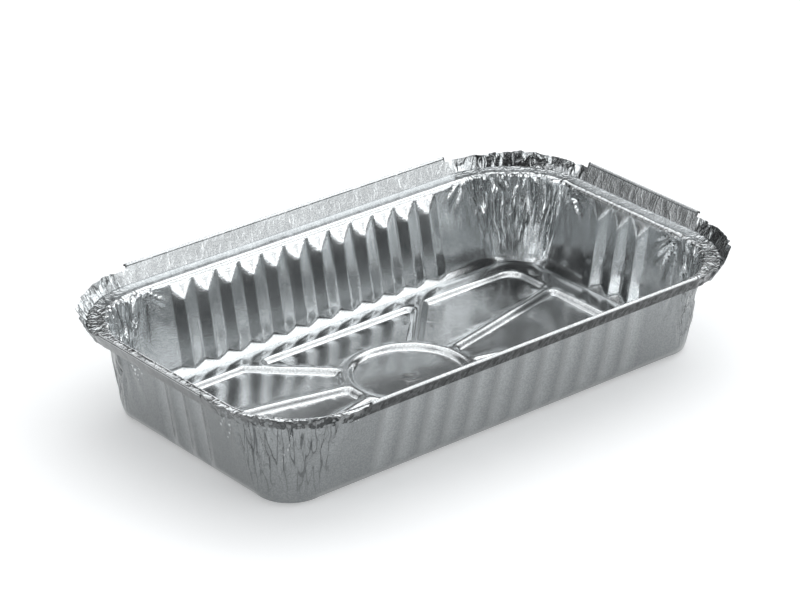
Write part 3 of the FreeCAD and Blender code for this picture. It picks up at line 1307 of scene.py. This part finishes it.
    def heights(self, points: Array, shapes: list[Array]) -> Array:
        """Height of the middle of the sheet at plan points.

        Args:
            points: plan points.
            shapes: outlines of the pressed areas.

        Returns:
            One height for each point.
        """
        sizes = self.sizes
        x, y = points.T
        drop = np.zeros(len(points))
        for shape in shapes:
            fall = self.depth_inside(points, shape) / self.slope_run
            drop = np.maximum(drop, soft_share(fall, self.rounding / self.slope_run))
        loop = sizes.foot_loop.inset(sizes.chamfer_run)
        inside = 1.0 - np.maximum(np.abs(x) / loop.half_length, np.abs(y) / loop.half_width)
        around = np.hypot(x / self.dome_run[0], y / self.dome_run[1])
        dome = self.dome_height * np.exp(-(around**2) * self.dome_fall)
        dome = dome * step(inside, 0.0, self.dome_edge)
        smooth = FoldNoise(self.noise_seed).smooth
        uneven = self.wide_waves.over(smooth, x, y) + self.fine_waves.over(smooth, x, y)
        uneven = (uneven + self.wave_lift) * step(inside, 0.0, self.wave_edge)
        away = np.hypot(x - self.mark_place[0], y - self.mark_place[1]) - self.mark_radius
        mark = self.mark_height * np.exp(-((away / self.mark_width) ** 2))
        return sizes.floor_level - sizes.panel_depth * drop + dome + uneven + mark

    def _plan_points(self, rim: Array, shapes: list[Array]) -> Array:
        """Plan points of the floor.

        Args:
            rim: points of the first row of the wall.
            shapes: outlines of the pressed areas.

        Returns:
            Points of the rim, lines along the slopes, a lattice between them and rings
            round the mark in the disc.
        """
        border = rim[:, :2]
        plan = [border]
        for shape in shapes:
            plan.extend(self._offset(shape, distance) for distance in self.slope_lines)
        half = self.sizes.foot_loop
        across = np.arange(-half.half_length, half.half_length, self.lattice)
        up = np.arange(-half.half_width, half.half_width, self.lattice)
        half_step = self.lattice / 2.0
        lattice = np.array(
            [(x + half_step * (row % 2), y) for row, y in enumerate(up) for x in across]
        )
        depths = [np.abs(self.depth_inside(lattice, shape)) for shape in [*shapes, border]]
        inside = self.depth_inside(lattice, border) > self.rim_gap
        plan.append(lattice[inside & (np.min(depths, axis=0) > self.line_gap)])
        for radius in self.mark_rings:
            plan.append(self._circle(radius, self.mark_points) + self.mark_place)
        return np.vstack(plan)

    def triangles(self, rim: Array) -> tuple[Array, list[Face]]:
        """Mesh of the floor inside the foot of the walls.

        Args:
            rim: points of the first row of the wall, which the floor shares.

        Returns:
            Points, of which the first ones are the rim's, and triangles.
        """
        shapes = self.outlines()
        plan = [Vector(point) for point in self._plan_points(rim, shapes)]
        border = [list(range(len(rim)))]
        kept, _, found, origin, _, _ = delaunay_2d_cdt(plan, [], border, 1, self.join_distance)
        order: dict[int, int] = {}
        extra: list[Pair] = []
        for number, sources in enumerate(origin):
            on_rim = [source for source in sources if source < len(rim)]
            if on_rim:
                order[number] = on_rim[0]
            else:
                order[number] = len(rim) + len(extra)
                extra.append((kept[number].x, kept[number].y))
        free = np.array(extra)
        mesh_points = np.vstack([rim, np.column_stack([free, self.heights(free, shapes)])])
        return mesh_points, [tuple(order[corner] for corner in face) for face in found]


# ----------------------------------------------------------------------- sheet


@dataclass(frozen=True)
class Bands:
    """Numbers of rows up to the end of each band of the sheet, from the foot up."""

    wall: int
    ledge: int
    upright: int
    hem: int
    straight_rows: int = 2

    @property
    def corner_last(self) -> int:
        """Number of the last row in the corners, where the straight rims go on."""
        return self.upright - 1 - self.straight_rows


@dataclass(frozen=True)
class SheetMasks:
    """Where the sheet is creased, duller or carries painted shade, as numbers at the points of its
    rows.
    """

    rows: SheetRows
    bands: Bands
    floor_points: int
    near_crease: float = 0.35
    near_fade: float = 5.0
    calm_rows: int = 4
    rising_rows: float = 9.0
    ledge_crease: float = 0.35
    rim_crease: float = 0.2
    floor_satin: float = 0.4
    # Painted shade of the inner skin: in folds, on the corner rims, darkest in one corner, and on
    # the long rims.
    crease_shade: float = 0.18
    darkest_corner: Pair = (-1.0, 1.0)
    darkest_corner_shade: float = 0.95
    corner_rim_shade: float = 0.62
    long_rim_shade: float = 0.3
    # Painted reflection stripes that lift the outer skin's painted shade along the flutes.
    reflection_stripe_share: float = 0.3
    # Painted shade of the hem and of the rim's outer face.
    hem_shade: float = 0.9
    hem_edge_shade: float = 0.3
    short_side_rim_shade: float = 0.4
    rim_shade_power: float = 3.0

    def crumple(self) -> Array:
        """Creases: full in the corners, some beside them, faint on the straight rims.

        Returns:
            Values of each row.
        """
        rows, columns, bands = self.rows, self.rows.columns, self.bands
        near = self.near_crease * np.exp(-rows.near_corner() / self.near_fade)
        weight = rows.corner_weight() + near * ~columns.on_corner
        made = []
        for number in range(bands.hem):
            rise = min(1.0, max(0.0, (number - self.calm_rows) / self.rising_rows))
            strength = weight * rise
            if bands.wall <= number < bands.ledge:
                strength = np.maximum(strength, self.ledge_crease * columns.on_short)
            elif bands.ledge <= number < bands.upright:
                strength = np.maximum(strength, self.rim_crease)
            made.append(strength)
        return np.array(made)

    def inner_painted_shade(self, crumple: Array) -> Array:
        """Painted shade of the inner skin: in folds, low on one flute flank, and on the upright
        rims, most in the corners.

        Args:
            crumple: creases of each row.

        Returns:
            Values of each row.
        """
        rows, columns, bands = self.rows, self.rows.columns, self.bands
        made = self.crease_shade * crumple
        made[: bands.wall] += [rows.shaded_flank(height) for height in rows.wall_heights]
        darkest = columns.in_corner(self.darkest_corner)
        corner = np.where(darkest, self.darkest_corner_shade, self.corner_rim_shade) * rows.corner_weight()
        made[bands.ledge : bands.upright] = corner + self.long_rim_shade * columns.on_long
        made[bands.upright :] = 0.0
        return made

    def plain(self) -> Array:
        """Painted shade of the outer skin, lifted in painted reflection stripes along the flutes.

        Returns:
            Values of each row.
        """
        rows, bands = self.rows, self.bands
        made = np.ones((bands.hem, len(rows.columns.travel)))
        for number, height in enumerate(rows.wall_heights):
            made[number] -= self.reflection_stripe_share * (rows.flute(height) / rows.sizes.flute_depth)
        return made

    def inner_rim_shade(self) -> Array:
        """Painted shade of the hem: dark lines below it and at its free edge, black at its ends.

        Returns:
            Values of each row.
        """
        columns, bands = self.rows.columns, self.bands
        made = np.zeros((bands.hem, len(columns.travel)))
        made[[bands.upright - 1, bands.hem - 2, bands.hem - 1]] = self.hem_shade
        made[bands.hem - 3] = self.hem_edge_shade
        made[:, columns.on_corner] = 0.0
        made[bands.corner_last + 1 :, (columns.turn == 0.0) | (columns.turn == 1.0)] = 1.0
        return made

    def outer_rim_shade(self) -> Array:
        """Painted shade on the outer face of the rim, darkest on the long sides.

        Returns:
            Values of each row.
        """
        columns, bands = self.rows.columns, self.bands
        made = np.zeros((bands.hem, len(columns.travel)))
        facing = np.abs(columns.outward[:, 1]) ** self.rim_shade_power
        made[bands.ledge :] = self.short_side_rim_shade + (1.0 - self.short_side_rim_shade) * facing
        return made

    def _whole(self, rows: Array, floor: float = 0.0) -> Array:
        """Values of the rows and one value for all points of the floor."""
        return np.concatenate([rows.ravel(), np.full(self.floor_points, floor)])

    def made(self) -> dict[str, tuple[Array, Array]]:
        """All masks.

        Returns:
            Values of the inner and the outer skin, by the name that the finish reads.
        """
        rows = self.crumple()
        crumple = self._whole(rows)
        satin = self._whole(np.zeros_like(rows), self.floor_satin)
        return {
            "crumple": (crumple, crumple),
            "satin": (satin, satin),
            # The outside mask carries painted shade on both skins, and the next one the near-black
            # painted shade of the rim and hem.
            "outside": (self._whole(self.inner_painted_shade(rows)), self._whole(self.plain(), 1.0)),
            "painted_rim_shade": (self._whole(self.inner_rim_shade()), self._whole(self.outer_rim_shade())),
        }


@dataclass
class FoilSheet:
    """The whole tray: one sheet of foil with a skin on either side."""

    sizes: TraySizes = field(default_factory=TraySizes)
    finish: FoilFinish = field(default_factory=FoilFinish)
    corner_columns: int = 94
    plain_columns: int = 12
    flute_places: tuple[float, ...] = (
        -5.725, -5.05, -4.7, -2.7, -0.7, -0.25, 0.25, 0.7, 2.7, 4.7, 5.05,
    )
    sharp_fold: float = math.radians(40.0)

    def make_columns(self) -> Columns:
        """Set out the columns, corner by corner and side by side.

        Returns:
            Columns all the way round, turning left from plus X.
        """
        columns: list[Column] = []
        travel = 0.0
        arc = self.sizes.ledge_inner.radius * math.pi / 2.0
        for turn in range(4):
            start = turn * math.pi / 2.0
            middle = start + math.pi / 4.0
            corner = (math.copysign(1.0, math.cos(middle)), math.copysign(1.0, math.sin(middle)))
            for number in range(self.corner_columns + 1):
                share = number / self.corner_columns
                angle = start + share * math.pi / 2.0
                outward = (math.cos(angle), math.sin(angle))
                columns.append(Column(outward, travel + share * arc, corner, share))
            travel = self._add_side(columns, start + math.pi / 2.0, travel + arc)
        return Columns(columns)

    def _add_side(self, columns: list[Column], angle: float, travel: float) -> float:
        """Add the columns of one straight side.

        Args:
            columns: columns so far.
            angle: direction of the side's outward normal.
            travel: distance round the ledge at its start.

        Returns:
            Distance round the ledge at its end.
        """
        sizes = self.sizes
        outward = (float(round(math.cos(angle))), float(round(math.sin(angle))))
        kind = Side.LONG if outward[1] else Side.SHORT
        side: dict[str, Any] = {"along": (-outward[1], outward[0]), "side": kind.value}
        count = sizes.flute_count(kind)
        loop = sizes.ledge_inner
        straight = (loop.half_length if kind is Side.LONG else loop.half_width) - loop.radius
        end = count * sizes.flute_pitch / 2.0
        shift = sizes.flute_shift if kind is Side.LONG else 0.0
        shares = [number / self.plain_columns for number in range(1, self.plain_columns)]
        places = [((shift - end) * share, -(1.0 - share)) for share in shares]
        for number in range(count):
            middle = (number - (count - 1) / 2.0) * sizes.flute_pitch
            places.extend((middle + place + shift, 0.0) for place in self.flute_places)
        places.append((end + shift, 0.0))
        places.extend(((end + shift) * (1.0 - share), share) for share in shares)
        for fixed, sliding in places:
            distance = travel + straight + fixed + sliding * straight
            columns.append(Column(outward, distance, fixed=fixed, sliding=sliding, **side))
        return travel + 2.0 * straight

    def build(self) -> bpy.types.Object:
        """Make the mesh, dress it and hand it to the frame.

        Returns:
            The finished piece.
        """
        columns = self.make_columns()
        rows = SheetRows(self.sizes, columns)
        grid = [rows.wall_row(height) for height in rows.wall_heights]
        ends = [len(grid)]
        for more in (rows.ledge_rows, rows.upright_rows, rows.hem_rows):
            grid += more()
            ends.append(len(grid))
        bands = Bands(*ends)
        count = len(columns.travel)
        floor_points, floor_faces = FloorPress(self.sizes).triangles(grid[0])

        middle = np.vstack([*grid, floor_points[count:]])
        faces = self._wall_faces(columns, bands)
        moved = (len(grid) - 1) * count
        for face in floor_faces:
            faces.append(tuple(corner if corner < count else corner + moved for corner in face))
        masks = SheetMasks(rows, bands, len(floor_points) - count).made()
        mesh = self._thicken(middle, faces, masks)
        piece = bpy.data.objects.new("foil_sheet", mesh)
        bpy.context.scene.collection.objects.link(piece)
        mesh.materials.append(self.finish.material())
        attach(piece, "root")
        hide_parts("foil_tray")
        return piece

    @staticmethod
    def _wall_faces(columns: Columns, bands: Bands) -> list[Face]:
        """Faces between the rows, without a hem in the corners.

        Args:
            columns: columns all the way round.
            bands: numbers of rows.

        Returns:
            Faces of four corners, with the upper side outwards.
        """
        count = len(columns.travel)
        faces: list[Face] = []
        for number in range(count):
            after = (number + 1) % count
            in_corner = columns.on_corner[number] and columns.on_corner[after]
            last = bands.corner_last if in_corner else bands.hem - 1
            for row in range(last):
                low, high = row * count, (row + 1) * count
                faces.append((low + number, low + after, high + after, high + number)[::-1])
        return faces

    def _thicken(
        self, middle: Array, faces: list[Face], masks: dict[str, tuple[Array, Array]]
    ) -> bpy.types.Mesh:
        """Closed mesh with a skin on either side of the middle of the sheet.

        Args:
            middle: points of the middle of the sheet, in millimetres.
            faces: its faces, with the upper side outwards.
            masks: values at the points of the inner and the outer skin, which the finish reads.

        Returns:
            The mesh, in metres.
        """
        used = np.unique(np.concatenate([np.array(face) for face in faces]))
        renumber = np.full(len(middle), -1)
        renumber[used] = np.arange(len(used))
        middle = middle[used]
        faces = [tuple(int(renumber[corner]) for corner in face) for face in faces]
        normals = self._normals(middle, faces)
        half = self.sizes.thickness / 2.0
        count = len(middle)
        points = np.vstack([middle + normals * half, middle - normals * half]) * MM
        skins = faces + [tuple(corner + count for corner in reversed(face)) for face in faces]
        seen: dict[tuple[int, int], int] = {}
        for face in faces:
            for a, b in zip(face, face[1:] + face[:1]):
                seen[(a, b)] = seen.get((a, b), 0) + 1
        for a, b in seen:
            if (b, a) not in seen:
                skins.append((b, a, a + count, b + count))
        mesh = bpy.data.meshes.new("foil_sheet")
        mesh.from_pydata(points.tolist(), [], skins)
        mesh.update()
        for name, (inner, outer) in masks.items():
            layer = mesh.attributes.new(name, "FLOAT", "POINT")
            both = np.concatenate([inner[used], outer[used]])
            layer.data.foreach_set("value", both.astype(np.float32))
        mesh.shade_smooth()
        mesh.set_sharp_from_angle(angle=self.sharp_fold)
        return mesh

    @staticmethod
    def _normals(points: Array, faces: list[Face]) -> Array:
        """Average normal at each point.

        Args:
            points: points of the middle of the sheet.
            faces: faces of three or four corners.

        Returns:
            Arrows of length 1.
        """
        total = np.zeros_like(points)
        for size in (3, 4):
            some = np.array([face for face in faces if len(face) == size])
            if not len(some):
                continue
            first = points[some[:, 2]] - points[some[:, 0]]
            second = points[some[:, size - 1]] - points[some[:, 1]]
            cross = np.cross(first, second)
            for corner in range(size):
                np.add.at(total, some[:, corner], cross)
        length = np.linalg.norm(total, axis=1)
        length[length == 0.0] = 1.0
        return total / length[:, None]


# ---------------------------------------------------------------------- studio


@dataclass(frozen=True)
class PaleFloorFinish:
    """Matt white table top, lifted a little for the camera and in reflections."""

    name: str = "pale_table"
    colour: Colour = (0.93, 0.935, 0.94, 1.0)
    second_colour: Colour = (0.91, 0.915, 0.92, 1.0)
    cloud_scale: float = 6.0
    cloud_octaves: float = 3.0
    roughness: float = 0.9
    unlit: Colour = (0.0, 0.0, 0.0, 1.0)
    lift: Colour = (0.28, 0.28, 0.28, 1.0)
    lifted_rays: tuple[str, ...] = ("Is Camera Ray", "Is Glossy Ray", "Is Transmission Ray")

    def material(self) -> bpy.types.Material:
        """Make the material.

        Returns:
            A matt white with a faint cloudiness.
        """
        made = bpy.data.materials.new(self.name)
        made.use_nodes = True
        graph = Graph(made.node_tree)
        place = graph.node("ShaderNodeTexCoord", output="Object")
        values = {"Vector": place, "Scale": self.cloud_scale, "Detail": self.cloud_octaves}
        cloud = graph.node("ShaderNodeTexNoise", values=values)
        colour = graph.blend(cloud, self.colour, self.second_colour)
        first, second, third = [
            graph.node("ShaderNodeLightPath", output=kind) for kind in self.lifted_rays
        ]
        lifted = graph.blend((first + second + third).below(1.0), self.unlit, self.lift)
        values = {"Base Color": colour, "Roughness": self.roughness, "Emission Color": lifted}
        values["Emission Strength"] = 1.0
        surface = graph.node("ShaderNodeBsdfPrincipled", values=values)
        graph.node("ShaderNodeOutputMaterial", values={"Surface": surface})
        return made


@dataclass(frozen=True)
class SoftCard:
    """Bright soft-edged card in the surroundings, placed by angles in degrees."""

    azimuth: float
    half_azimuth: float
    elevation: float
    half_elevation: float
    level: float
    core: float = 0.4

    def glow(self, azimuth: Signal, elevation: Signal) -> Signal:
        """Light of the card in every direction.

        Args:
            azimuth: azimuth of the direction, in radians.
            elevation: elevation of the direction, in radians.

        Returns:
            The card's level inside it, falling to 0 at its edges.
        """
        up = abs(elevation - math.radians(self.elevation))
        half = self.half_elevation
        share = up.ramp(math.radians(half), math.radians(half * self.core))
        if self.half_azimuth < 180.0:
            turn = azimuth - math.radians(self.azimuth)
            limits = {0: turn, 1: math.pi, 2: -math.pi}
            away = azimuth.graph.node("ShaderNodeMath", {"operation": "WRAP"}, limits)
            half = math.radians(self.half_azimuth)
            share = share * abs(away).ramp(half, half * self.core)
        return share * self.level


@dataclass
class Studio:
    """Pale floor, soft surroundings and camera."""

    floor_half: float = 6.0
    floor_gap: float = 0.00005
    air_colour: Colour = (0.975, 0.99, 1.0, 1.0)
    air_level: float = 0.045
    cards: tuple[SoftCard, ...] = (
        SoftCard(-6.0, 110.0, 1.0, 14.0, 2.2),
        SoftCard(-1.0, 47.0, 9.5, 16.0, 2.4),
        SoftCard(180.0, 36.0, 7.0, 32.0, 2.5),
        SoftCard(152.0, 26.0, 23.0, 13.0, 0.7),
        SoftCard(134.0, 24.0, 2.0, 5.0, 1.3),
        SoftCard(270.0, 30.0, 7.0, 25.0, 2.3),
        SoftCard(305.0, 35.0, 14.0, 10.0, 0.6),
        SoftCard(301.0, 34.0, 30.0, 15.0, 1.8),
        SoftCard(27.0, 81.0, 52.0, 20.0, 2.0),
        SoftCard(120.0, 36.0, 52.0, 16.0, 1.1),
        SoftCard(0.0, 180.0, 94.0, 44.0, 1.3),
    )
    photo_focal_pixels: float = 3364.4
    photo_width_pixels: float = 800.0
    sensor_width: float = 36.0
    clip_start: float = 0.05
    clip_end: float = 30.0
    camera_place: Triple = (-0.7617, -0.9049, 0.6078)
    camera_right: Triple = (0.7671, -0.6415, 0.0)
    camera_up: Triple = (0.2797, 0.3345, 0.8999)
    camera_back: Triple = (-0.5773, -0.6904, 0.4360)

    def build(self) -> None:
        """Make the floor, the surroundings and the camera."""
        self._floor()
        self._world()
        self._camera()

    def _floor(self) -> None:
        """Large pale plane just under the tray."""
        half = self.floor_half
        corners = [(-half, -half, 0.0), (half, -half, 0.0), (half, half, 0.0), (-half, half, 0.0)]
        mesh = bpy.data.meshes.new("table_top")
        mesh.from_pydata(corners, [], [(0, 1, 2, 3)])
        floor = bpy.data.objects.new("table_top", mesh)
        floor.location = (0.0, 0.0, -self.floor_gap)
        mesh.materials.append(PaleFloorFinish().material())
        bpy.context.scene.collection.objects.link(floor)

    def _world(self) -> None:
        """Soft cards round and above the tray, with dark gaps between them."""
        world = bpy.data.worlds.new("studio_air")
        bpy.context.scene.world = world
        world.use_nodes = True
        graph = Graph(world.node_tree)
        place = graph.node("ShaderNodeTexCoord", output="Generated")
        x, y, z = [
            graph.node("ShaderNodeSeparateXYZ", values={0: place}, output=axis)
            for axis in range(3)
        ]
        azimuth = graph.node("ShaderNodeMath", {"operation": "ARCTAN2"}, {0: y, 1: x})
        elevation = graph.node("ShaderNodeMath", {"operation": "ARCSINE"}, {0: z})
        level = self.cards[0].glow(azimuth, elevation) + self.air_level
        for card in self.cards[1:]:
            level = level + card.glow(azimuth, elevation)
        values = {"Color": self.air_colour, "Strength": level}
        shade = graph.node("ShaderNodeBackground", values=values)
        graph.node("ShaderNodeOutputWorld", values={"Surface": shade})

    def _camera(self) -> None:
        """Camera at the photograph's place and angle."""
        data = bpy.data.cameras.new("photo_camera")
        data.sensor_fit = "HORIZONTAL"
        data.sensor_width = self.sensor_width
        data.lens = self.photo_focal_pixels / self.photo_width_pixels * self.sensor_width
        data.clip_start = self.clip_start
        data.clip_end = self.clip_end
        camera = bpy.data.objects.new("photo_camera", data)
        bpy.context.scene.collection.objects.link(camera)
        axes = Matrix((self.camera_right, self.camera_up, self.camera_back)).transposed()
        camera.matrix_world = Matrix.Translation(Vector(self.camera_place)) @ axes.to_4x4()
        bpy.context.scene.camera = camera


# ------------------------------------------------------------------------ main


def main() -> None:
    """Build the studio and the tray in order."""
    logging.basicConfig(level=logging.INFO)
    bpy.context.scene.view_settings.view_transform = "Standard"
    Studio().build()
    log.info("studio: floor, surroundings and camera")
    sheet = FoilSheet().build()
    sheet.data.calc_loop_triangles()
    log.info("foil_sheet: %d triangles", len(sheet.data.loop_triangles))


if __name__ == "__main__":
    main()
